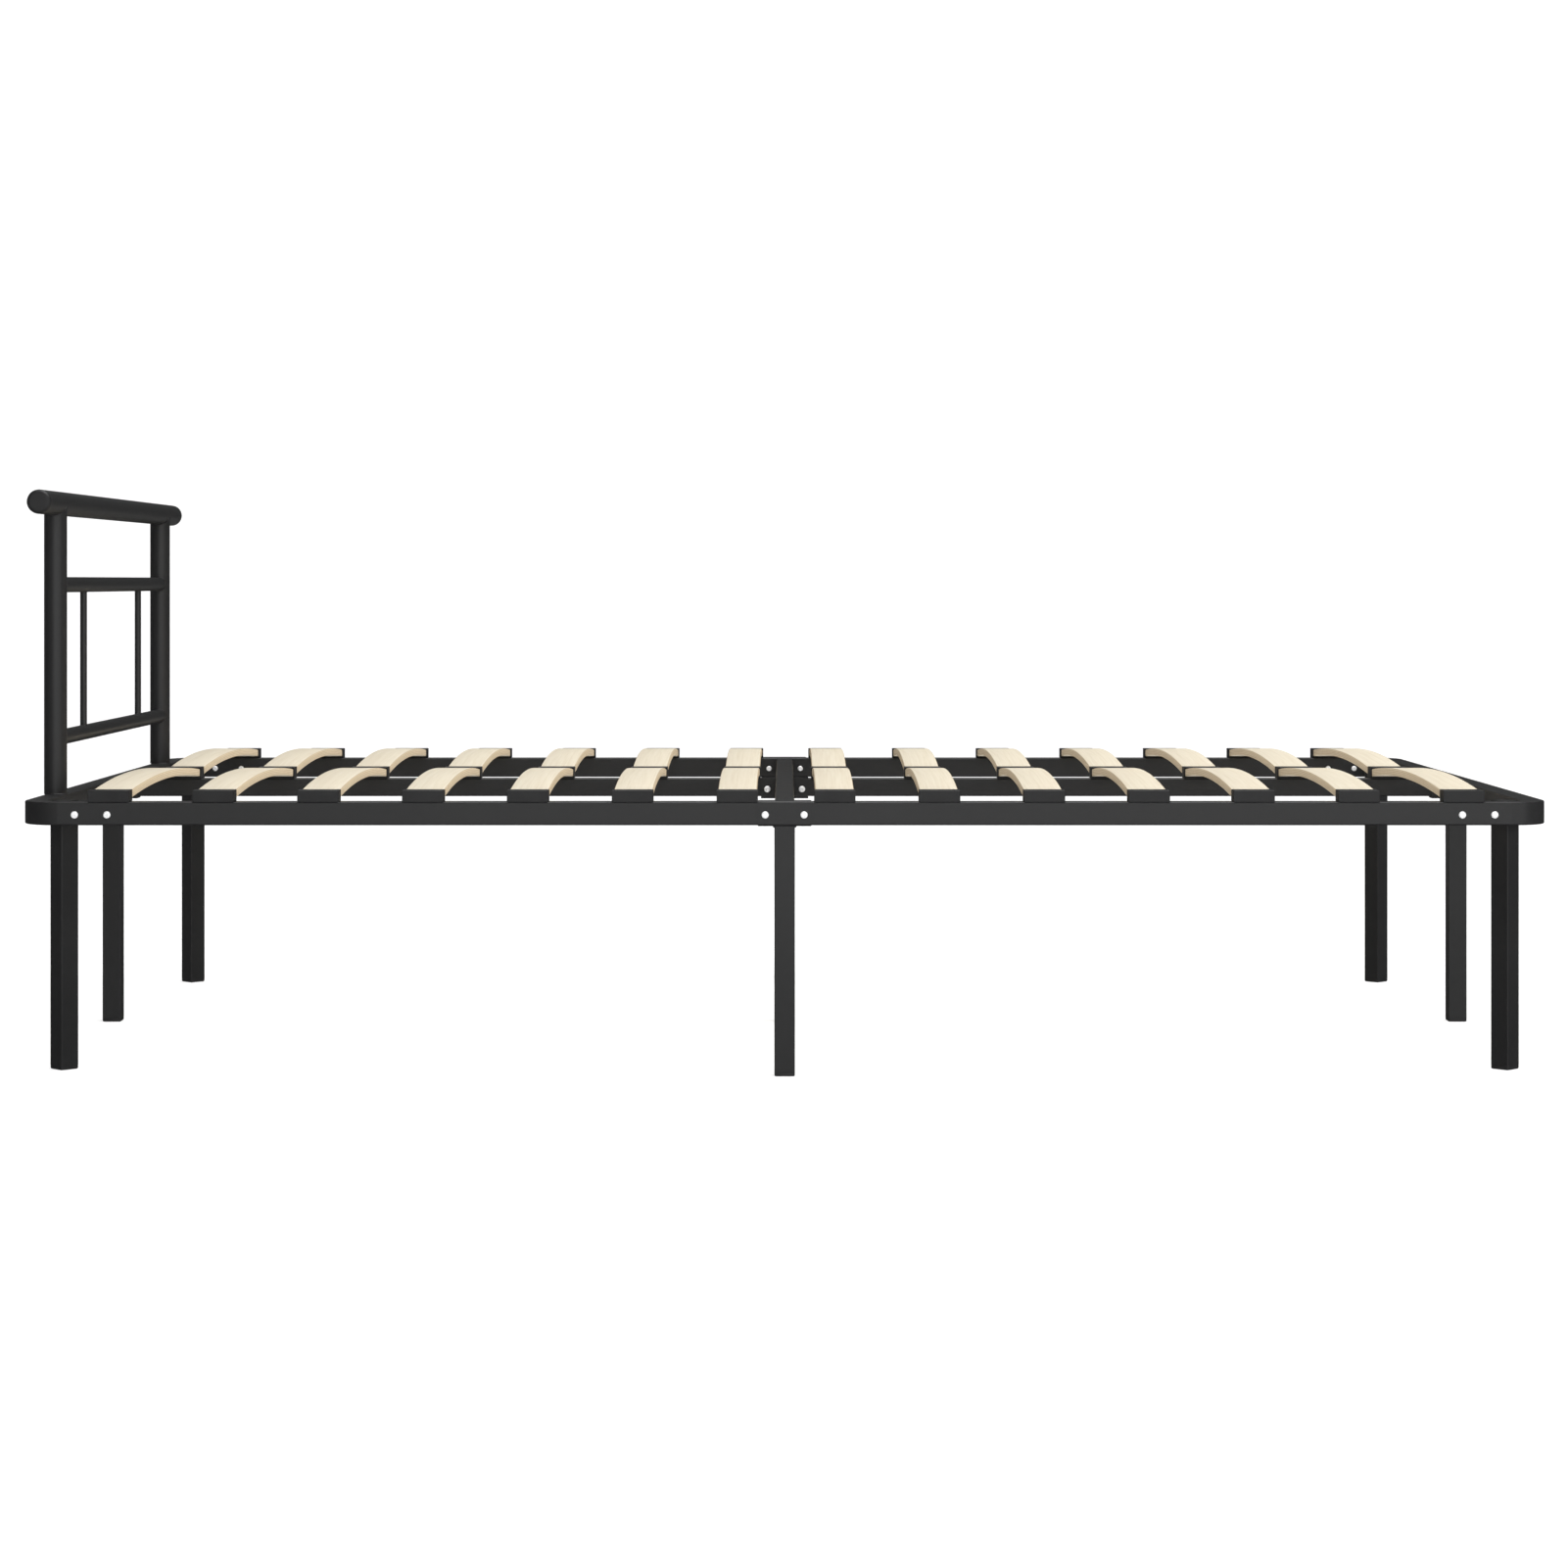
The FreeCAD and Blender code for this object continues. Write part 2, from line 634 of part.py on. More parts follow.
# ---------------------------------------------------------------- slats and caps

def slat_places():
    """Distance of every slat from the middle of the bed, from head to foot."""
    steps = list(range(SLATS_PER_HALF))
    distances = [f"(Sizes.first_slat_x + {step} * Sizes.slat_pitch)" for step in steps]
    head_half = [f"Sizes.slat_shift - {distance}" for distance in reversed(distances)]
    foot_half = [f"Sizes.slat_shift + {distance}" for distance in distances]
    return head_half + foot_half


def slat(side, number, across):
    """Arched plywood slat: its side outline, padded to the slat's width."""
    body = new_body(f"slat_{SIDE_NAMES[side]}_{number:02d}")
    half = f"{SLAT_LENGTH} / 2"
    base = "0"
    tip_top = "Sizes.slat_thickness"
    crown_top = "(Sizes.slat_thickness + Sizes.slat_rise)"
    crown_base = "Sizes.slat_rise"
    outline = new_sketch(body, "outline", "YZ_Plane")

    def point(along, up):
        return FreeCAD.Vector(value(along), value(up), 0)

    def arch(low, high):
        """An arc over the slat's length, bound by its tips and its crown."""
        arc = Part.Arc(point(f"-{half}", low), point("0", high), point(half, low))
        item = outline.addGeometry(arc)
        first, last = (1, 2) if outline.getPoint(item, 1).x < 0 else (2, 1)
        pin_point(outline, item, first, f"-{half}", low)
        pin_point(outline, item, last, half, low)
        crown = outline.addGeometry(Part.Point(point("0", high)), True)
        pin_point(outline, crown, 1, "0", high)
        outline.addConstraint(Sketcher.Constraint("PointOnObject", crown, 1, item))
        return item, first, last

    lower, lower_first, lower_last = arch(base, crown_base)
    upper, upper_first, upper_last = arch(tip_top, crown_top)
    for sign, lower_end, upper_end in (("-", lower_first, upper_first), ("", lower_last, upper_last)):
        tip = outline.addGeometry(
            Part.LineSegment(point(f"{sign}{half}", base), point(f"{sign}{half}", tip_top))
        )
        outline.addConstraint(Sketcher.Constraint("Coincident", tip, 1, lower, lower_end))
        outline.addConstraint(Sketcher.Constraint("Coincident", tip, 2, upper, upper_end))
    add_pad(body, outline, "Sizes.slat_width", centred=True)
    middle_y = f"{side} * ({SLAT_LENGTH} / 2 + Sizes.slat_tip_gap)"
    place(body, across, middle_y, f"{RAIL_TOP} + Sizes.slat_base_gap")
    nodes.append(body)


def cap_block(label, reach, pockets, riser):
    """A plastic holder on a riser: a rounded block with one open pocket, or two back to back."""
    body = new_body(label)
    block = new_sketch(body, "block", "XY_Plane")
    half_width = "Sizes.cap_width / 2"
    depth = f"({pockets} * {reach})"
    height = f"(Sizes.cap_height + {riser})"
    add_rectangle(block, f"-{half_width}", half_width, f"-{depth} / 2", f"{depth} / 2")
    add_pad(body, block, height)
    mouth = new_sketch(body, "mouth", "XZ_Plane", lift=f"{depth} / 2")
    low = f"(Sizes.cap_floor + {riser})"
    high = f"({low} + Sizes.cap_pocket_height)"
    half_pocket = "Sizes.cap_pocket_width / 2"
    add_rectangle(mouth, f"-{half_pocket}", half_pocket, low, high)
    pocket_depth = f"{reach} - Sizes.cap_end_wall"
    add_pocket(body, mouth, pocket_depth)
    if pockets == 2:
        other = new_sketch(body, "other_mouth", "XZ_Plane", lift=f"-{depth} / 2")
        add_rectangle(other, f"-{half_pocket}", half_pocket, low, high)
        add_pocket(body, other, pocket_depth, flipped=True)

    def upright(edge):
        return abs(edge.BoundBox.ZLength - value(height)) < TOLERANCE

    add_fillet(body, "rounding", upright, "Sizes.cap_round")
    return body


def slat_caps():
    """Single caps on both side rails and double caps on the centre beam."""
    single = cap_block("single_cap", "Sizes.cap_depth", 1, "0")
    double = cap_block("double_cap", "Sizes.centre_cap_depth", 2, "Sizes.beam_drop")
    rail_cap_y = "(Sizes.bed_width - Sizes.cap_depth) / 2"
    rail_places = [
        (across, f"{side} * {rail_cap_y}", RAIL_TOP, turn)
        for side, turn in ((LEFT, HALF_TURN), (RIGHT, turned()))
        for across in slat_places()
    ]
    group("slat_caps_rails", single, rail_places)
    centre_places = [(across, "0", BEAM_TOP, turned()) for across in slat_places()]
    group("slat_caps_centre", double, centre_places)


# ---------------------------------------------------------------- bolts

def head_profile(body, extra_corners):
    """Turned profile of a low domed head above Z = 0 and whatever is below it."""
    profile = new_sketch(body, "profile", "XZ_Plane")
    radius = "Sizes.head_diameter / 2"
    crown = "Sizes.head_height"
    shoulder = "Sizes.head_crown / 2"
    corners = [(radius, "0"), (radius, "Sizes.head_edge"), (shoulder, crown), ("0", crown)]
    add_outline(profile, corners + extra_corners)
    add_revolution(body, profile, "V_Axis")
    key = new_sketch(body, "key", "XY_Plane", lift=crown)
    corner_distance = "Sizes.key_size / cos(30)"
    half_corner = f"{corner_distance} / 2"
    half_flat = "Sizes.key_size / 2"
    quarter = f"{corner_distance} / 4"
    add_outline(
        key,
        [
            (half_corner, "0"),
            (quarter, half_flat),
            (f"-{quarter}", half_flat),
            (f"-{half_corner}", "0"),
            (f"-{quarter}", f"-{half_flat}"),
            (quarter, f"-{half_flat}"),
        ],
    )
    add_pocket(body, key, "Sizes.key_depth")


def bolt_places():
    """Where every bolt goes: X, the side rail or beam it crosses, and that joint's thickness."""
    corner_bolts = [
        (f"{end} * (Sizes.seam_x + {step} * Sizes.corner_bolt_offset)", f"{side} * {RAIL_Y}", "rail", side)
        for end in (HEAD, FOOT)
        for step in (-1, 1)
        for side in (LEFT, RIGHT)
    ]
    middle_bolts = [
        (f"{end} * Sizes.middle_bolt_x", f"{side} * {RAIL_Y}", "sleeve", side)
        for end in (HEAD, FOOT)
        for side in (LEFT, RIGHT)
    ]
    beam_bolts = [
        (f"{end} * {distance}", "0", "bracket", LEFT)
        for end in (HEAD, FOOT)
        for distance in ("Sizes.middle_bolt_x", BEAM_END_BOLT)
    ]
    return corner_bolts + middle_bolts + beam_bolts


def bolts_and_nuts():
    """Domed hex-socket bolts from outside, and the sleeve nuts that meet them from inside."""
    bolt = new_body("joint_bolt")
    shank = "Sizes.bolt_diameter / 2"
    tip = "-Sizes.bolt_length"
    head_profile(bolt, [("0", tip), (shank, tip), (shank, "0")])

    nut = new_body("joint_nut")
    barrel = "Sizes.barrel_diameter / 2"
    barrel_end = "-Sizes.barrel_length"
    head_profile(nut, [("0", barrel_end), (barrel, barrel_end), (barrel, "0")])
    bore = new_sketch(nut, "bore", "XY_Plane", lift=barrel_end)
    add_circle(bore, "Sizes.barrel_bore")
    add_pocket(nut, bore, "Sizes.barrel_bore_depth", flipped=True)

    copies = []
    for across, along, joint, side in bolt_places():
        half = f"Sizes.{joint}_size / 2"
        outward = turned(x_degrees=-90 * side)
        inward = turned(x_degrees=90 * side)
        copies.append((bolt, (across, f"{along} + {side} * {half}", BOLT_HEIGHT, outward)))
        copies.append((nut, (across, f"{along} - {side} * {half}", BOLT_HEIGHT, inward)))
    mixed_group("joint_bolts_and_nuts", copies)


# ---------------------------------------------------------------- the bed

for end in (HEAD, FOOT):
    end_rail(end)
    centre_beam(end)
    for side in (LEFT, RIGHT):
        side_rail(end, side)
        corner_leg(end, side)
    leg(f"{END_NAMES[end]}_leg_middle", f"{end} * Sizes.end_leg_x", "0", "Sizes.rail_underside")

cross_beam()
leg("centre_leg_middle", "0", "0", f"({BEAM_TOP} - Sizes.beam_size)")
for side in (LEFT, RIGHT):
    sleeve_underside = f"({RAIL_MIDDLE} - Sizes.sleeve_size / 2)"
    leg(f"centre_leg_{SIDE_NAMES[side]}", "0", f"{side} * {SIDE_LEG_Y}", sleeve_underside)
    headboard_post(side)

headboard_top_rail()
headboard_cross_rail("middle", "Sizes.middle_rail_height")
headboard_cross_rail("lower", "Sizes.lower_rail_height")
top_rail_end_plugs()
corner_inserts()
side_joint_sleeves()
centre_beam_brackets()
headboard_bars()
foot_plugs()
slat_caps()
bolts_and_nuts()

for side in (LEFT, RIGHT):
    for number, across in enumerate(slat_places(), start=1):
        slat(side, number, across)

doc.recompute()

# ---------------------------------------------------------------- checks and files

for item in doc.Objects:
    if "Invalid" in item.State or "Error" in item.State:
        raise RuntimeError(f"{item.Name} failed: {item.State}")
for node in nodes:
    if node.Shape.isNull() or not node.Shape.isValid() or not node.Shape.Solids:
        raise RuntimeError(f"{node.Label} has no sound solid")

os.makedirs("parts", exist_ok=True)
for node in nodes:
    node.Shape.exportStep(f"parts/{node.Label}.step")
print(len(nodes), "sub-parts written")
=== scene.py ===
"""Looks of the metal bed frame: materials, slats, caps, bolts, welds, floor, light and camera.

Everything is in metres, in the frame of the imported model: +X from head to foot, -Y is the bed's left
side, +Z up.
"""
import json
import math

import bmesh
import bpy
from mathutils import Matrix, Vector


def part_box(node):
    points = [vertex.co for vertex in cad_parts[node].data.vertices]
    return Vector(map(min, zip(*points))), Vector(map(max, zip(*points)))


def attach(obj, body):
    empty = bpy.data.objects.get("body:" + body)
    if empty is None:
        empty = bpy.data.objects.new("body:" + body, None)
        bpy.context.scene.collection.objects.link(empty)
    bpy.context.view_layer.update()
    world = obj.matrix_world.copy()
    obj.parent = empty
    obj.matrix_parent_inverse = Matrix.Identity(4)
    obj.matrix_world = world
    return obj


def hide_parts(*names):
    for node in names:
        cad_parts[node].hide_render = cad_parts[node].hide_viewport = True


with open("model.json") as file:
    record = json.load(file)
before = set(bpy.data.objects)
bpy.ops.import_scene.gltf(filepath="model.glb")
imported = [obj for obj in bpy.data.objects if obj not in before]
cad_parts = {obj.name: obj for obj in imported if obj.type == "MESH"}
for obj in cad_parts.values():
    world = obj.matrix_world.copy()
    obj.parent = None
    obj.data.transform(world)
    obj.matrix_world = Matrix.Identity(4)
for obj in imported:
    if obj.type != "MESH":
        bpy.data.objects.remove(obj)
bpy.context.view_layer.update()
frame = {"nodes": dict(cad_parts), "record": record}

# ---------------------------------------------------------------- driving sizes, in metres

# heads of the bolts and sleeve nuts, and their places along the tubes
BOLT_HEAD_RADIUS = 0.0049
NUT_HEAD_RADIUS = 0.0044
BOLT_HEAD_HEIGHT = 0.003
BOLT_RIM_HEIGHT = 0.0006
BOLT_KEY_RADIUS = 0.0022
BOLT_KEY_DEPTH = 0.0014
BOLT_KEY_RIM = 0.0005
BOLT_KEY_TAPER = 0.93
BOLT_DOME_DEGREES = 78
BOLT_DOME_STEPS = 6
BOLT_SIDES = 36
BOLT_SPIN_DEGREES = 23
CORNER_BOLT_OFFSET = 0.022
MIDDLE_BOLT_X = 0.0264
BOLT_DROP = 0.0014

# corners of the square tubes, and the foot plugs; a share is of the leg's width
LEG_CORNER = 0.0015
BEAM_CORNER = 0.002
PLUG_FLANGE = 0.005
PLUG_HOLLOW_DEPTH = 0.002
PLUG_HOLLOW_CORNER = 0.002
PLUG_HOLLOW_SHARE = 0.72
PLUG_HOLLOW_TAPER = 0.94

# radii of the weld beads, how much and how often they swell, and where they stop
LEG_WELD = 0.0026
BEAM_WELD = 0.002
BRACKET_WELD = 0.0013
POST_FOOT_WELD = 0.0016
CROSS_RAIL_WELD = 0.0013
TOP_RAIL_WELD = 0.0009
BAR_WELD = 0.0007
BEAD_SIDES = 8
BEAD_SWELL = 0.14
BEAD_RHYTHM = 2.1
LEG_WELD_SPACING = 0.0015
LEG_WELD_STOP = 0.0035
BRACKET_WELD_STOP = 0.001
POST_FOOT_ARC_DEGREES = 276

# slats
SLAT_THICKNESS = 0.011
SLAT_PLIES = 9
SLAT_EDGE_RADIUS = 0.0016
SLAT_STEPS = 40

# slat caps
CAP_WIDTH = 0.0561
CAP_DEPTH = 0.0285
CENTRE_CAP_DEPTH = 0.016
CAP_HEIGHT = 0.016
CAP_FLOOR = 0.0012
CAP_END_WALL = 0.002
CAP_POCKET_WIDTH = 0.0534
CAP_POCKET_HEIGHT = 0.0138
CAP_CORNER = 0.0007
CAP_POCKET_CORNER = 0.0006
CAP_LIP = 0.0005
CAP_MOUTH_FLARE = 0.0001

# the photograph's camera, level and square to the bed's side
CAMERA_DISTANCE = 5.507
CAMERA_HEIGHT = 0.6736
CAMERA_LENS_MM = 82.57
CAMERA_SENSOR_MM = 36.0
CAMERA_SHIFT = (-0.0004, -0.1296)

# ---------------------------------------------------------------- places, read from the frame

BEAM_LOW, BEAM_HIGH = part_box("cross_beam")
BED_X = (BEAM_LOW.x + BEAM_HIGH.x) / 2
RAIL_LOW, RAIL_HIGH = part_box("side_rail_foot_left")
RAIL_Y = abs(RAIL_LOW.y + RAIL_HIGH.y) / 2
RAIL_HALF = (RAIL_HIGH.z - RAIL_LOW.z) / 2
BOLT_Z = (RAIL_LOW.z + RAIL_HIGH.z) / 2 - BOLT_DROP
RAIL_TOP_Z = RAIL_HIGH.z
SEAM_X = RAIL_HIGH.x - BED_X
SLATS_PER_SIDE = 14
SLAT_NAMES = [
    f"slat_{side}_{number:02d}"
    for side in ("left", "right")
    for number in range(1, SLATS_PER_SIDE + 1)
]


# ---------------------------------------------------------------- node material helpers

class NodeMaterial:
    """A material whose nodes are added and joined in one line each."""

    def __init__(self, name):
        self.material = bpy.data.materials.new(name)
        self.material.use_nodes = True
        self.tree = self.material.node_tree
        self.shader = next(node for node in self.tree.nodes if node.type == "BSDF_PRINCIPLED")

    def node(self, kind, **settings):
        """Adds a node and sets its properties."""
        made = self.tree.nodes.new(kind)
        for name, value in settings.items():
            setattr(made, name, value)
        return made

    def join(self, source, target):
        self.tree.links.new(source, target)

    def fixed(self, **values):
        """Constant values, set on the shader's own sockets."""
        for name, value in values.items():
            self.shader.inputs[name.replace("_", " ")].default_value = value

    def coordinates(self, scale, attribute=None):
        """Positions in metres, stretched by a scale along each axis."""
        if attribute is None:
            source = self.node("ShaderNodeTexCoord").outputs["Object"]
        else:
            source = self.node("ShaderNodeAttribute", attribute_name=attribute).outputs["Vector"]
        mapping = self.node("ShaderNodeMapping")
        mapping.inputs["Scale"].default_value = scale
        self.join(source, mapping.inputs["Vector"])
        return mapping.outputs["Vector"]

    def noise(self, scale, detail=3.0, roughness=0.5, vector=None, distortion=0.0):
        """Fractal noise, by default over the piece's own position in metres."""
        texture = self.node("ShaderNodeTexNoise")
        texture.inputs["Scale"].default_value = scale
        texture.inputs["Detail"].default_value = detail
        texture.inputs["Roughness"].default_value = roughness
        texture.inputs["Distortion"].default_value = distortion
        self.join(vector or self.coordinates((1, 1, 1)), texture.inputs["Vector"])
        return texture.outputs["Fac"]

    def ramp(self, factor, *stops):
        """A colour ramp; each stop is (position, colour)."""
        ramp = self.node("ShaderNodeValToRGB")
        elements = ramp.color_ramp.elements
        while len(elements) < len(stops):
            elements.new(0.5)
        for element, (position, colour) in zip(elements, stops):
            element.position = position
            element.color = (*colour, 1)
        self.join(factor, ramp.inputs["Fac"])
        return ramp.outputs["Color"]

    def spread(self, factor, low, high):
        """Maps 0..1 on to low..high."""
        mapped = self.node("ShaderNodeMapRange")
        mapped.inputs["To Min"].default_value = low
        mapped.inputs["To Max"].default_value = high
        self.join(factor, mapped.inputs["Value"])
        return mapped.outputs["Result"]

    def step(self, value, start, end):
        """0 below start, 1 above end, smooth between."""
        mapped = self.node("ShaderNodeMapRange", interpolation_type="SMOOTHSTEP")
        mapped.inputs["From Min"].default_value = start
        mapped.inputs["From Max"].default_value = end
        self.join(value, mapped.inputs["Value"])
        return mapped.outputs["Result"]

    def math(self, operation, first, second=None):
        """A math node; each operand is a socket, a number or nothing."""
        made = self.node("ShaderNodeMath", operation=operation)
        for socket, value in zip(made.inputs, (first, second)):
            if isinstance(value, (int, float)):
                socket.default_value = value
            elif value is not None:
                self.join(value, socket)
        return made.outputs[0]

    def mix(self, factor, first, second):
        """Mixes two colours; each of them, and the factor, is a socket or a constant."""
        made = self.node("ShaderNodeMix", data_type="RGBA")
        if isinstance(factor, (int, float)):
            made.inputs["Factor"].default_value = factor
        else:
            self.join(factor, made.inputs["Factor"])
        for name, value in (("A", first), ("B", second)):
            socket = next(item for item in made.inputs if item.name == name and item.type == "RGBA")
            if isinstance(value, tuple):
                socket.default_value = (*value, 1)
            else:
                self.join(value, socket)
        return next(item for item in made.outputs if item.type == "RGBA")

    def bumps(self, *layers):
        """Stacked bump maps; each layer is (height, strength, distance)."""
        normal = None
        for height, strength, distance in layers:
            bump = self.node("ShaderNodeBump")
            bump.inputs["Strength"].default_value = strength
            bump.inputs["Distance"].default_value = distance
            self.join(height, bump.inputs["Height"])
            if normal is not None:
                self.join(normal, bump.inputs["Normal"])
            normal = bump.outputs["Normal"]
        self.join(normal, self.shader.inputs["Normal"])


def powder_coat():
    """Satin black powder coat: a fine orange peel, with slight drift in tone and gloss."""
    made = NodeMaterial("powder_coat_black")
    cloud = made.noise(9, detail=4)
    peel = made.noise(620, detail=2, roughness=0.45)
    waviness = made.noise(95, detail=2)
    fleck = made.noise(2600, detail=1)
    tone = made.ramp(cloud, (0.3, (0.0085, 0.0086, 0.0089)), (0.7, (0.0108, 0.0109, 0.0113)))
    speckled = made.mix(made.spread(fleck, 0.0, 0.25), tone, (0.017, 0.017, 0.018))
    made.join(speckled, made.shader.inputs["Base Color"])
    made.join(made.spread(made.math("ADD", cloud, made.math("MULTIPLY", fleck, 0.5)), 0.36, 0.46),
              made.shader.inputs["Roughness"])
    made.bumps((peel, 0.16, 0.0004), (waviness, 0.08, 0.0012))
    return made.material


def moulded_plastic():
    """Black moulded plastic with a faint spark-eroded grain and rubbed high spots."""
    made = NodeMaterial("moulded_black_plastic")
    grain = made.noise(1500, detail=2, roughness=0.6)
    cloud = made.noise(35, detail=3)
    tone = made.ramp(cloud, (0.35, (0.009, 0.009, 0.0095)), (0.7, (0.0135, 0.0135, 0.014)))
    made.join(tone, made.shader.inputs["Base Color"])
    made.join(made.spread(cloud, 0.42, 0.56), made.shader.inputs["Roughness"])
    made.bumps((grain, 0.22, 0.0003))
    made.fixed(IOR=1.45)
    return made.material


def bright_zinc():
    """Bright zinc plate: pale, softly blurred, with fine turning marks."""
    made = NodeMaterial("bright_zinc")
    cloud = made.noise(260, detail=3)
    scratch = made.noise(900, detail=2, vector=made.coordinates((1, 1, 6)))
    tone = made.ramp(cloud, (0.3, (0.91, 0.915, 0.92)), (0.75, (0.97, 0.97, 0.97)))
    made.join(tone, made.shader.inputs["Base Color"])
    made.join(made.spread(scratch, 0.24, 0.4), made.shader.inputs["Roughness"])
    made.bumps((scratch, 0.08, 0.0002))
    made.fixed(Metallic=0.35)
    return made.material


def plywood():
    """Pale lacquered plywood: long face grain on top and below, stacked plies along the edges."""
    made = NodeMaterial("pale_plywood")
    place = "slat_place"
    drift = made.noise(1.0, detail=3, vector=made.coordinates((34, 1.6, 0), place))
    figure = made.noise(
        1.0, detail=5, roughness=0.62, vector=made.coordinates((330, 5.5, 40), place), distortion=0.35
    )
    pores = made.noise(1.0, detail=2, roughness=0.7, vector=made.coordinates((1900, 40, 60), place))
    sheet_tone = made.noise(1.0, detail=1, vector=made.coordinates((3.1, 0.7, 0)))
    face = made.ramp(
        figure, (0.3, (0.6, 0.54, 0.42)), (0.52, (0.66, 0.607, 0.49)), (0.72, (0.69, 0.642, 0.53))
    )
    face = made.mix(made.spread(drift, 0.0, 0.32), face, (0.565, 0.47, 0.34))
    face = made.mix(made.spread(sheet_tone, 0.0, 0.16), face, (0.6, 0.5, 0.365))
    dark_pore = made.step(pores, 0.62, 0.74)
    face = made.mix(made.math("MULTIPLY", dark_pore, 0.14), face, (0.4, 0.29, 0.18))

    split = made.node("ShaderNodeSeparateXYZ")
    made.join(made.coordinates((1, 1, 1), place), split.inputs["Vector"])
    across, height = split.outputs["X"], split.outputs["Z"]
    # every other ply shows its end grain, darker than the rest
    ply = made.math("MULTIPLY", height, SLAT_PLIES * math.pi / SLAT_THICKNESS)
    stripe = made.math("ADD", made.math("MULTIPLY", made.math("SINE", ply), 0.5), 0.5)
    fibre_place = made.coordinates((60, 160, 900), place)
    edge_fibre = made.noise(1.0, detail=4, roughness=0.7, vector=fibre_place)
    light_ply = made.ramp(edge_fibre, (0.3, (0.475, 0.39, 0.265)), (0.7, (0.57, 0.48, 0.35)))
    dark_ply = made.ramp(edge_fibre, (0.3, (0.35, 0.26, 0.155)), (0.7, (0.45, 0.355, 0.235)))
    edge = made.mix(made.step(stripe, 0.3, 0.7), light_ply, dark_ply)
    # the face gives way to the edge just inside the slat's half width
    side = made.step(made.math("ABSOLUTE", across), 0.0252, 0.0262)
    made.join(made.mix(side, face, edge), made.shader.inputs["Base Color"])
    made.join(made.spread(figure, 0.5, 0.36), made.shader.inputs["Roughness"])
    made.bumps((figure, 0.08, 0.0003), (stripe, 0.05, 0.0002), (pores, 0.07, 0.0002))
    made.fixed(Specular_IOR_Level=0.08)
    return made.material


MATERIALS = {
    "powder_coat": powder_coat(),
    "black_plastic": moulded_plastic(),
    "zinc": bright_zinc(),
    "plywood": plywood(),
}


# ---------------------------------------------------------------- mesh helpers

def finish_piece(name, mesh, slot, replaces=(), smooth_angle=35):
    """Makes a mesh into a piece of the bed: smooth, with its material, riding on the one body."""
    mesh.shade_smooth()
    mesh.set_sharp_from_angle(angle=math.radians(smooth_angle))
    piece = bpy.data.objects.new(name, mesh)
    bpy.context.scene.collection.objects.link(piece)
    mesh.materials.append(MATERIALS[slot])
    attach(piece, "root")
    if replaces:
        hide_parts(*replaces)


def mesh_from(name, build):
    """Runs a bmesh builder and returns the mesh, with its normals facing out."""
    shape = bmesh.new()
    build(shape)
    bmesh.ops.recalc_face_normals(shape, faces=shape.faces)
    mesh = bpy.data.meshes.new(name)
    shape.to_mesh(mesh)
    shape.free()
    return mesh


def bridge(shape, first, second):
    """Quads between two closed loops with the same number of points."""
    count = len(first)
    for index in range(count):
        following = (index + 1) % count
        shape.faces.new((first[index], first[following], second[following], second[index]))


def rounded_rectangle(width, height, radius, steps=3):
    """Points of a rounded rectangle about the origin, anticlockwise from its lower right corner."""
    points = []
    for corner, (side, up) in enumerate(((1, -1), (1, 1), (-1, 1), (-1, -1))):
        centre = (side * (width / 2 - radius), up * (height / 2 - radius))
        for step in range(steps + 1):
            angle = math.radians(90 * (corner - 1 + step / steps))
            points.append((centre[0] + radius * math.cos(angle), centre[1] + radius * math.sin(angle)))
    return points


def bead(name, points, radius, closed=False):
    """A weld bead: a thin round cord along a path, swelling and narrowing a little like laid weld."""

    def build(shape):
        rings = []
        count = len(points)
        for index, point in enumerate(points):
            before = points[index - 1] if index or closed else point
            after = points[(index + 1) % count] if index < count - 1 or closed else point
            along = (after - before).normalized()
            helper = Vector((0, 0, 1)) if abs(along.z) < 0.9 else Vector((1, 0, 0))
            side = along.cross(helper).normalized()
            up = side.cross(along).normalized()
            size = radius * (1 - BEAD_SWELL * (0.5 + 0.5 * math.sin(index * BEAD_RHYTHM)))
            ring = []
            for step in range(BEAD_SIDES):
                angle = math.tau * step / BEAD_SIDES
                offset = size * (math.cos(angle) * side + math.sin(angle) * up)
                ring.append(shape.verts.new(point + offset))
            rings.append(ring)
        for first, second in zip(rings, rings[1:]):
            bridge(shape, first, second)
        if closed:
            bridge(shape, rings[-1], rings[0])
        else:
            shape.faces.new(list(reversed(rings[0])))
            shape.faces.new(rings[-1])

    finish_piece(name, mesh_from(name, build), "powder_coat", smooth_angle=60)


# ---------------------------------------------------------------- slats

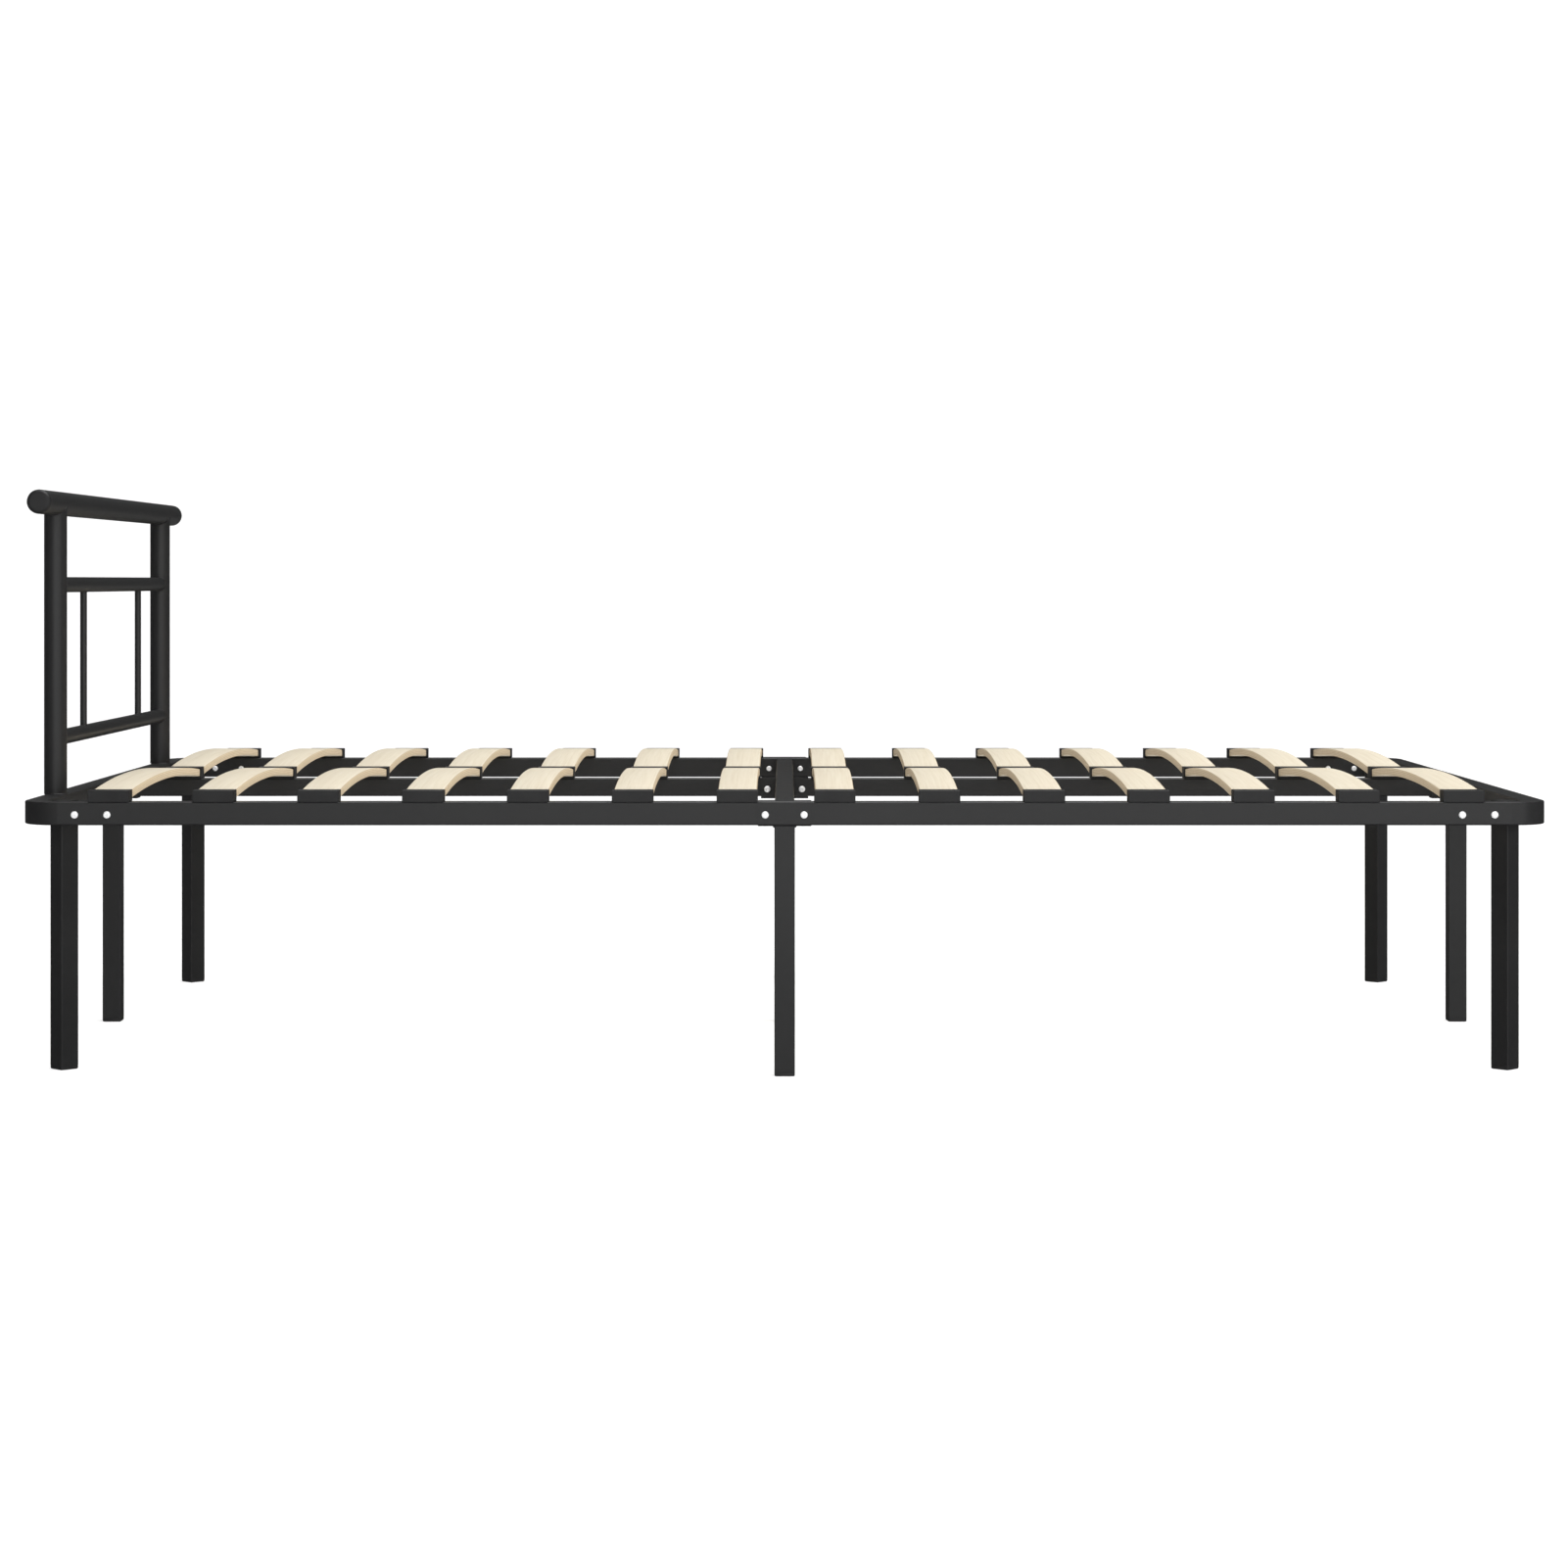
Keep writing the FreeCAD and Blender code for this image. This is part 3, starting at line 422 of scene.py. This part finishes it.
def slat(name):
    """Bent plywood slat: a rounded section carried along the arch, in the CAD slat's own box."""
    low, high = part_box(name)
    middle = (low + high) / 2
    half_length = (high.y - low.y) / 2
    half_width = (high.x - low.x) / 2
    rise = high.z - low.z - SLAT_THICKNESS
    arch_radius = (half_length**2 + rise**2) / (2 * rise)
    section = rounded_rectangle(2 * half_width, SLAT_THICKNESS, SLAT_EDGE_RADIUS)

    def build(shape):
        place = shape.verts.layers.float_vector.new("slat_place")
        rings = []
        for step in range(SLAT_STEPS + 1):
            along = half_length * (2 * step / SLAT_STEPS - 1)
            drop = arch_radius - math.sqrt(arch_radius**2 - along**2)
            ring = []
            for across, up in section:
                height = high.z - SLAT_THICKNESS / 2 - drop + up
                vertex = shape.verts.new((middle.x + across, middle.y + along, height))
                # the grain starts further along for each slat of a row
                vertex[place] = (across, along + 3 * middle.x, up + SLAT_THICKNESS / 2)
                ring.append(vertex)
            rings.append(ring)
        for first, second in zip(rings, rings[1:]):
            bridge(shape, first, second)
        shape.faces.new(list(reversed(rings[0])))
        shape.faces.new(rings[-1])

    piece_name = f"plywood_{name}"
    finish_piece(piece_name, mesh_from(piece_name, build), "plywood", replaces=[name])


# ---------------------------------------------------------------- slat caps

def cap_shell(shape, place, mouths, reach, riser=0.0):
    """A box on a riser, with a slat pocket behind each mouth; place moves it into the bed's frame."""
    total_height = CAP_HEIGHT + riser
    outer = rounded_rectangle(CAP_WIDTH, total_height, CAP_CORNER)
    inner = rounded_rectangle(CAP_POCKET_WIDTH, CAP_POCKET_HEIGHT, CAP_POCKET_CORNER)
    pocket_up = riser + CAP_FLOOR + CAP_POCKET_HEIGHT / 2

    def ring(points, along, lift, shrink=0.0):
        made = []
        for across, up in points:
            inset_across = across - math.copysign(shrink, across)
            inset_up = up - math.copysign(shrink, up)
            point = Vector((inset_across, along, inset_up + lift))
            made.append(shape.verts.new(place @ point))
        return made

    half = reach * len(mouths) / 2
    ends = {}
    for end in (-1, 1):
        rim = ring(outer, end * half, total_height / 2, shrink=CAP_LIP)
        shoulder = ring(outer, end * (half - CAP_LIP), total_height / 2)
        bridge(shape, rim, shoulder)
        ends[end] = shoulder
        if end in mouths:
            mouth = ring(inner, end * half, pocket_up, shrink=-CAP_MOUTH_FLARE)
            throat = ring(inner, end * (half - CAP_LIP), pocket_up)
            floor = ring(inner, end * (half - reach + CAP_END_WALL), pocket_up)
            bridge(shape, mouth, rim)
            bridge(shape, mouth, throat)
            bridge(shape, throat, floor)
            shape.faces.new(floor)
        else:
            shape.faces.new(rim)
    bridge(shape, ends[-1], ends[1])


def slat_caps():
    """Single caps on the side rails, with their mouths inwards, and double caps on the centre beam."""
    slat_boxes = [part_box(name) for name in SLAT_NAMES[:SLATS_PER_SIDE]]
    places_x = [(low.x + high.x) / 2 for low, high in slat_boxes]
    cap_y = abs(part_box("slat_caps_rails")[0].y) - CAP_DEPTH / 2

    def build_rail_caps(shape):
        for side in (-1, 1):
            for place_x in places_x:
                place = Matrix.Translation((place_x, side * cap_y, RAIL_TOP_Z))
                cap_shell(shape, place, (-side,), CAP_DEPTH)

    def build_centre_caps(shape):
        for place_x in places_x:
            place = Matrix.Translation((place_x, 0, BEAM_HIGH.z))
            cap_shell(shape, place, (-1, 1), CENTRE_CAP_DEPTH, riser=RAIL_TOP_Z - BEAM_HIGH.z)

    for name, build, node in (
        ("rail_slat_caps", build_rail_caps, "slat_caps_rails"),
        ("centre_slat_caps", build_centre_caps, "slat_caps_centre"),
    ):
        finish_piece(name, mesh_from(name, build), "black_plastic", replaces=[node])


# ---------------------------------------------------------------- bolts

def dome_head(shape, place, head_radius):
    """Low domed head with a rounded rim and a hexagon recess; place carries it on to its seat."""

    def ring(radius, height, flat_sided=False):
        made = []
        for side in range(BOLT_SIDES):
            angle = math.tau * side / BOLT_SIDES
            reach = radius
            if flat_sided:
                reach *= math.cos(math.pi / 6) / math.cos((angle % (math.pi / 3)) - math.pi / 6)
            point = Vector((reach * math.cos(angle), reach * math.sin(angle), height))
            made.append(shape.verts.new(place @ point))
        return made

    rings = [ring(head_radius, 0.0), ring(head_radius, BOLT_RIM_HEIGHT)]
    crown_radius = BOLT_KEY_RADIUS + BOLT_KEY_RIM
    dome_end = math.radians(BOLT_DOME_DEGREES)
    for step in range(1, BOLT_DOME_STEPS + 1):
        angle = dome_end * step / BOLT_DOME_STEPS
        radius = crown_radius + (head_radius - crown_radius) * math.cos(angle)
        rise = (BOLT_HEAD_HEIGHT - BOLT_RIM_HEIGHT) * math.sin(angle) / math.sin(dome_end)
        rings.append(ring(radius, BOLT_RIM_HEIGHT + rise))
    rings.append(ring(BOLT_KEY_RADIUS, BOLT_HEAD_HEIGHT, flat_sided=True))
    key_floor = BOLT_HEAD_HEIGHT - BOLT_KEY_DEPTH
    rings.append(ring(BOLT_KEY_RADIUS * BOLT_KEY_TAPER, key_floor, flat_sided=True))
    for first, second in zip(rings, rings[1:]):
        bridge(shape, first, second)
    shape.faces.new(rings[-1])
    shape.faces.new(list(reversed(rings[0])))


def bolt_heads():
    """Heads of all bolts and sleeve nuts; their shanks and barrels are hidden inside the tubes."""
    sleeve_low, sleeve_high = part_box("side_joint_sleeves")
    sleeve_half = (sleeve_high.z - sleeve_low.z) / 2
    bracket_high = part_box("centre_beam_brackets")[1]
    leg_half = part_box("centre_leg_middle")[1].x - BED_X
    bolt_from_bracket_end = MIDDLE_BOLT_X - leg_half
    beam_end_bolt = bracket_high.x - bolt_from_bracket_end - BED_X
    seats = []
    for end in (-1, 1):
        for side in (-1, 1):
            for offset in (-CORNER_BOLT_OFFSET, CORNER_BOLT_OFFSET):
                seats.append((end * (SEAM_X + offset), side * RAIL_Y, RAIL_HALF))
            seats.append((end * MIDDLE_BOLT_X, side * RAIL_Y, sleeve_half))
        for distance in (MIDDLE_BOLT_X, beam_end_bolt):
            seats.append((end * distance, 0.0, bracket_high.y))

    def build(shape):
        for number, (across, along, half) in enumerate(seats):
            for facing in (-1, 1):
                turn = Matrix.Rotation(math.radians(-90 * facing), 4, "X")
                spin = Matrix.Rotation(math.radians(BOLT_SPIN_DEGREES * number), 4, "Z")
                seat = Matrix.Translation((BED_X + across, along + facing * half, BOLT_Z))
                # the sleeve nuts face inwards on the side rails and to the right on the centre beam
                is_nut = facing * along < 0 or (along == 0 and facing > 0)
                head_radius = NUT_HEAD_RADIUS if is_nut else BOLT_HEAD_RADIUS
                dome_head(shape, seat @ turn @ spin, head_radius)

    mesh = mesh_from("bolt_heads", build)
    finish_piece("bolt_heads", mesh, "zinc", replaces=["joint_bolts_and_nuts"])


# ---------------------------------------------------------------- foot plugs and end plugs

def foot_plugs():
    """Plastic foot plugs: a bevelled flange with a shallow hollow underneath."""
    legs = [f"{end}_leg_{side}" for end in ("head", "foot") for side in ("left", "right")]
    straight = ["head_leg_middle", "foot_leg_middle"]
    straight += [f"centre_leg_{side}" for side in ("left", "middle", "right")]
    leg_low, leg_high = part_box("centre_leg_middle")
    size = leg_high.x - leg_low.x

    def plug(shape, centre, turn_degrees):
        place = Matrix.Translation(centre) @ Matrix.Rotation(math.radians(turn_degrees), 4, "Z")
        # height above the floor and how far the outline draws in there
        levels = [(0.0, 0.0012), (0.001, 0.0002), (0.004, 0.0), (PLUG_FLANGE, 0.0004)]
        rings = []
        for height, inset in levels:
            points = rounded_rectangle(size - 2 * inset, size - 2 * inset, LEG_CORNER)
            rings.append([shape.verts.new(place @ Vector((*point, height))) for point in points])
        for first, second in zip(rings, rings[1:]):
            bridge(shape, first, second)
        shape.faces.new(rings[-1])
        hollow_size = size * PLUG_HOLLOW_SHARE
        rim = rounded_rectangle(hollow_size, hollow_size, PLUG_HOLLOW_CORNER)
        lip = [shape.verts.new(place @ Vector((x, y, 0.0))) for x, y in rim]
        inner = [
            Vector((x * PLUG_HOLLOW_TAPER, y * PLUG_HOLLOW_TAPER, PLUG_HOLLOW_DEPTH)) for x, y in rim
        ]
        hollow = [shape.verts.new(place @ point) for point in inner]
        bridge(shape, lip, rings[0])
        bridge(shape, hollow, lip)
        shape.faces.new(hollow)

    def build(shape):
        for names, turn_degrees in ((legs, 45), (straight, 0)):
            for name in names:
                low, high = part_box(name)
                centre_x = (low.x + high.x) / 2
                if turn_degrees:
                    # the leg is flattened towards the end rail, so its far corner gives its centre
                    reach = (high.y - low.y) / 2
                    outward = math.copysign(1, centre_x)
                    centre_x = (low.x if outward > 0 else high.x) + outward * reach
                plug(shape, (centre_x, (low.y + high.y) / 2, 0.0), turn_degrees)

    mesh = mesh_from("foot_plug_flanges", build)
    finish_piece("foot_plug_flanges", mesh, "black_plastic", replaces=["foot_plugs"])


# ---------------------------------------------------------------- weld beads

def square_outline(size, corner, spacing):
    """Points of a rounded square with its straight sides cut at about the given spacing."""
    outline = rounded_rectangle(size, size, corner, steps=4)
    fine = []
    for first, second in zip(outline, outline[1:] + outline[:1]):
        cuts = max(1, round(math.dist(first, second) / spacing))
        for cut in range(cuts):
            x = first[0] + (second[0] - first[0]) * cut / cuts
            y = first[1] + (second[1] - first[1]) * cut / cuts
            fine.append((x, y))
    return fine


def leg_welds():
    """Beads on the free sides of each straight leg, where it meets the tube above it."""
    for name, open_side in (
        ("head_leg_middle", Vector((-1, 0))),
        ("foot_leg_middle", Vector((1, 0))),
        ("centre_leg_left", Vector((0, -1))),
        ("centre_leg_right", Vector((0, 1))),
        ("centre_leg_middle", None),
    ):
        low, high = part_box(name)
        middle = (low + high) / 2
        size = high.x - low.x
        kept = square_outline(size, LEG_CORNER, LEG_WELD_SPACING)
        if open_side is not None:
            # no bead on the side that is flush with the tube above
            limit = size / 2 - LEG_WELD_STOP
            count = len(kept)
            outside = [Vector(point).dot(open_side) > limit for point in kept]
            start = next(i for i in range(count) if outside[i - 1] and not outside[i])
            order = [(start + step) % count for step in range(count)]
            kept = [kept[index] for index in order if not outside[index]]
        points = [Vector((middle.x + x, middle.y + y, high.z)) for x, y in kept]
        bead(f"weld_{name}", points, LEG_WELD, closed=open_side is None)


def saddle(name, centre, tube_radius, other_radius, axis, facing, radius):
    """Bead where a round tube meets the side of another. The first tube runs along axis."""
    points = []
    steps = 44
    for step in range(steps):
        angle = math.tau * step / steps
        across = tube_radius * math.cos(angle)
        other = tube_radius * math.sin(angle)
        depth = math.sqrt(other_radius**2 - across**2)
        if axis == "Y":
            points.append(centre + Vector((across, facing * depth, other)))
        else:
            points.append(centre + Vector((across, other, facing * depth)))
    bead(name, points, radius, closed=True)


def headboard_welds():
    """Beads between the posts, the rails and the bars, and round the feet of the posts."""
    post_low, post_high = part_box("headboard_post_right")
    post_x = (post_low.x + post_high.x) / 2
    post_radius = (post_high.x - post_low.x) / 2
    post_y = (post_low.y + post_high.y) / 2
    top_low, top_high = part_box("headboard_top_rail")
    rails = {name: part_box(f"headboard_{name}_rail") for name in ("middle", "lower")}
    bars_low, bars_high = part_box("headboard_bars")
    bar_radius = (bars_high.x - bars_low.x) / 2
    bar_y = bars_high.y - bar_radius
    top_rail_z = (top_low.z + top_high.z) / 2
    top_rail_radius = (top_high.z - top_low.z) / 2
    for side, side_name in ((-1, "left"), (1, "right")):
        post = Vector((post_x, side * post_y, 0))
        for name, (low, high) in rails.items():
            centre = post + Vector((0, 0, (low.z + high.z) / 2))
            rail_radius = (high.z - low.z) / 2
            weld = f"weld_{name}_rail_{side_name}"
            saddle(weld, centre, rail_radius, post_radius, "Y", -side, CROSS_RAIL_WELD)
        top = post + Vector((0, 0, top_rail_z))
        weld = f"weld_top_rail_{side_name}"
        saddle(weld, top, post_radius, top_rail_radius, "Z", -1, TOP_RAIL_WELD)
        # the bead leaves out the side where the post reaches past the end rail's outer face
        foot_points = []
        steps = 60
        for step in range(steps + 1):
            angle = math.radians(POST_FOOT_ARC_DEGREES * step / steps - POST_FOOT_ARC_DEGREES / 2)
            around = Vector((math.cos(angle), math.sin(angle), 0))
            foot_points.append(post + Vector((0, 0, RAIL_TOP_Z)) + post_radius * around)
        bead(f"weld_post_foot_{side_name}", foot_points, POST_FOOT_WELD)
        for name, facing in (("middle", -1), ("lower", 1)):
            low, high = rails[name]
            centre = Vector((post_x, side * bar_y, (low.z + high.z) / 2))
            rail_radius = (high.z - low.z) / 2
            # the bar stands along Z and the rail runs along Y, so the saddle dips across X
            weld = f"weld_bar_{name}_{side_name}"
            saddle(weld, centre, bar_radius, rail_radius, "Z", facing, BAR_WELD)


def beam_welds():
    """Beads round the cross beam's ends against the two side sleeves."""
    middle_z = (BEAM_LOW.z + BEAM_HIGH.z) / 2
    size = BEAM_HIGH.x - BEAM_LOW.x
    outline = rounded_rectangle(size, size, BEAM_CORNER, steps=4)
    for side, side_name in ((-1, "left"), (1, "right")):
        points = [Vector((BED_X + x, side * BEAM_HIGH.y, middle_z + z)) for x, z in outline]
        bead(f"weld_cross_beam_{side_name}", points, BEAM_WELD, closed=True)


def bracket_welds():
    """Upright beads that join the two middle brackets to the sides of the cross beam."""
    low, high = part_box("centre_beam_brackets")
    foot = low.z + BRACKET_WELD_STOP
    top = BEAM_HIGH.z - BRACKET_WELD_STOP
    steps = 16
    for end, end_name in ((-1, "head"), (1, "foot")):
        seam_x = BED_X + end * (BEAM_HIGH.x - BEAM_LOW.x) / 2
        for side, side_name in ((low.y, "left"), (high.y, "right")):
            heights = [foot + (top - foot) * step / steps for step in range(steps + 1)]
            points = [Vector((seam_x, side, height)) for height in heights]
            bead(f"weld_bracket_{end_name}_{side_name}", points, BRACKET_WELD)


# ---------------------------------------------------------------- dress the frame

def dress_cad_nodes():
    """Gives every CAD node its procedural material, in the node's own material slots."""
    slots = {part["node"]: part["material_slot"] for part in frame["record"]["subparts"]}
    for name, node in frame["nodes"].items():
        material = MATERIALS[slots[name]]
        if not node.data.materials:
            node.data.materials.append(material)
        for slot in node.material_slots:
            slot.material = material


# ---------------------------------------------------------------- studio

def studio():
    """A pale floor that curves up into a round backdrop, lit from within, and soft lights."""
    white = NodeMaterial("studio_white")
    white.fixed(Base_Color=(0.5, 0.5, 0.5, 1), Roughness=0.9)
    white.fixed(Emission_Color=(1, 1, 1, 1), Emission_Strength=0.64)
    wall_radius, sweep_radius, wall_height, sides = 11.0, 3.0, 10.0, 64
    profile = [(wall_radius - sweep_radius, 0.0)]
    sweep_steps = 12
    for step in range(1, sweep_steps + 1):
        angle = math.radians(90 * step / sweep_steps)
        out = sweep_radius * math.sin(angle)
        up = sweep_radius * (1 - math.cos(angle))
        profile.append((wall_radius - sweep_radius + out, up))
    profile.append((wall_radius, wall_height))

    def build(shape):
        rings = []
        angles = [math.tau * side / sides for side in range(sides)]
        for radius, up in profile:
            points = [(radius * math.cos(angle), radius * math.sin(angle), up) for angle in angles]
            rings.append([shape.verts.new(point) for point in points])
        for first, second in zip(rings, rings[1:]):
            bridge(shape, first, second)
        shape.faces.new(rings[0])

    mesh = mesh_from("studio_backdrop", build)
    mesh.shade_smooth()
    backdrop = bpy.data.objects.new("studio_backdrop", mesh)
    bpy.context.scene.collection.objects.link(backdrop)
    mesh.materials.append(white.material)
    backdrop.visible_glossy = False

    world = bpy.data.worlds.new("studio_world")
    bpy.context.scene.world = world
    world.use_nodes = True
    background = world.node_tree.nodes["Background"]
    background.inputs["Color"].default_value = (1, 1, 1, 1)
    background.inputs["Strength"].default_value = 0.05

    add_area_light("front_softbox", (0.8, -7.4, 1.0), (0, 0, 0.35), 5.6, 2.2, 94)
    add_area_light("right_softbox", (5.2, -5.2, 1.2), (0, 0, 0.35), 1.8, 2.4, 46)
    add_area_light("top_softbox", (0.6, -0.4, 5.0), (0, 0, 0.3), 5.0, 4.0, 264)
    add_area_light("right_card", (6.5, -0.5, 1.2), (0, 0, 0.35), 3.0, 2.4, 6)
    wash = add_area_light("right_wash", (7.5, 0.3, 2.4), (0, 0, 0.4), 3.0, 2.0, 320)
    wash.visible_glossy = False
    add_area_light("floor_card_front", (0, -4.0, 0.02), (0, -4.0, 1.0), 7.0, 4.0, 55)
    add_area_light("floor_card_back", (0, 4.2, 0.02), (0, 4.2, 1.0), 9.0, 4.0, 18)
    add_area_light("back_softbox", (-2.5, 6.0, 6.5), (0, 0, 0.3), 4.0, 2.0, 60)


def add_area_light(name, place, target, width, height, power):
    """A rectangular soft light at a place, aimed at a target and hidden from the camera."""
    light = bpy.data.lights.new(name, "AREA")
    light.shape = "RECTANGLE"
    light.size = width
    light.size_y = height
    light.energy = power
    holder = bpy.data.objects.new(name, light)
    bpy.context.scene.collection.objects.link(holder)
    holder.location = place
    direction = Vector(target) - Vector(place)
    holder.rotation_euler = direction.to_track_quat("-Z", "Y").to_euler()
    holder.visible_camera = False
    return holder


def camera():
    """Level camera at the bed's left side, in line with the middle legs, framed by a small shift."""
    data = bpy.data.cameras.new("camera")
    data.sensor_width = CAMERA_SENSOR_MM
    data.lens = CAMERA_LENS_MM
    data.shift_x, data.shift_y = CAMERA_SHIFT
    data.clip_end = 60
    holder = bpy.data.objects.new("camera", data)
    bpy.context.scene.collection.objects.link(holder)
    holder.location = (BED_X, -CAMERA_DISTANCE, CAMERA_HEIGHT)
    holder.rotation_euler = (math.radians(90), 0, 0)
    bpy.context.scene.camera = holder


dress_cad_nodes()
for slat_name in SLAT_NAMES:
    slat(slat_name)
slat_caps()
bolt_heads()
foot_plugs()
leg_welds()
headboard_welds()
beam_welds()
bracket_welds()
studio()
camera()
bpy.context.scene.view_settings.view_transform = "Standard"
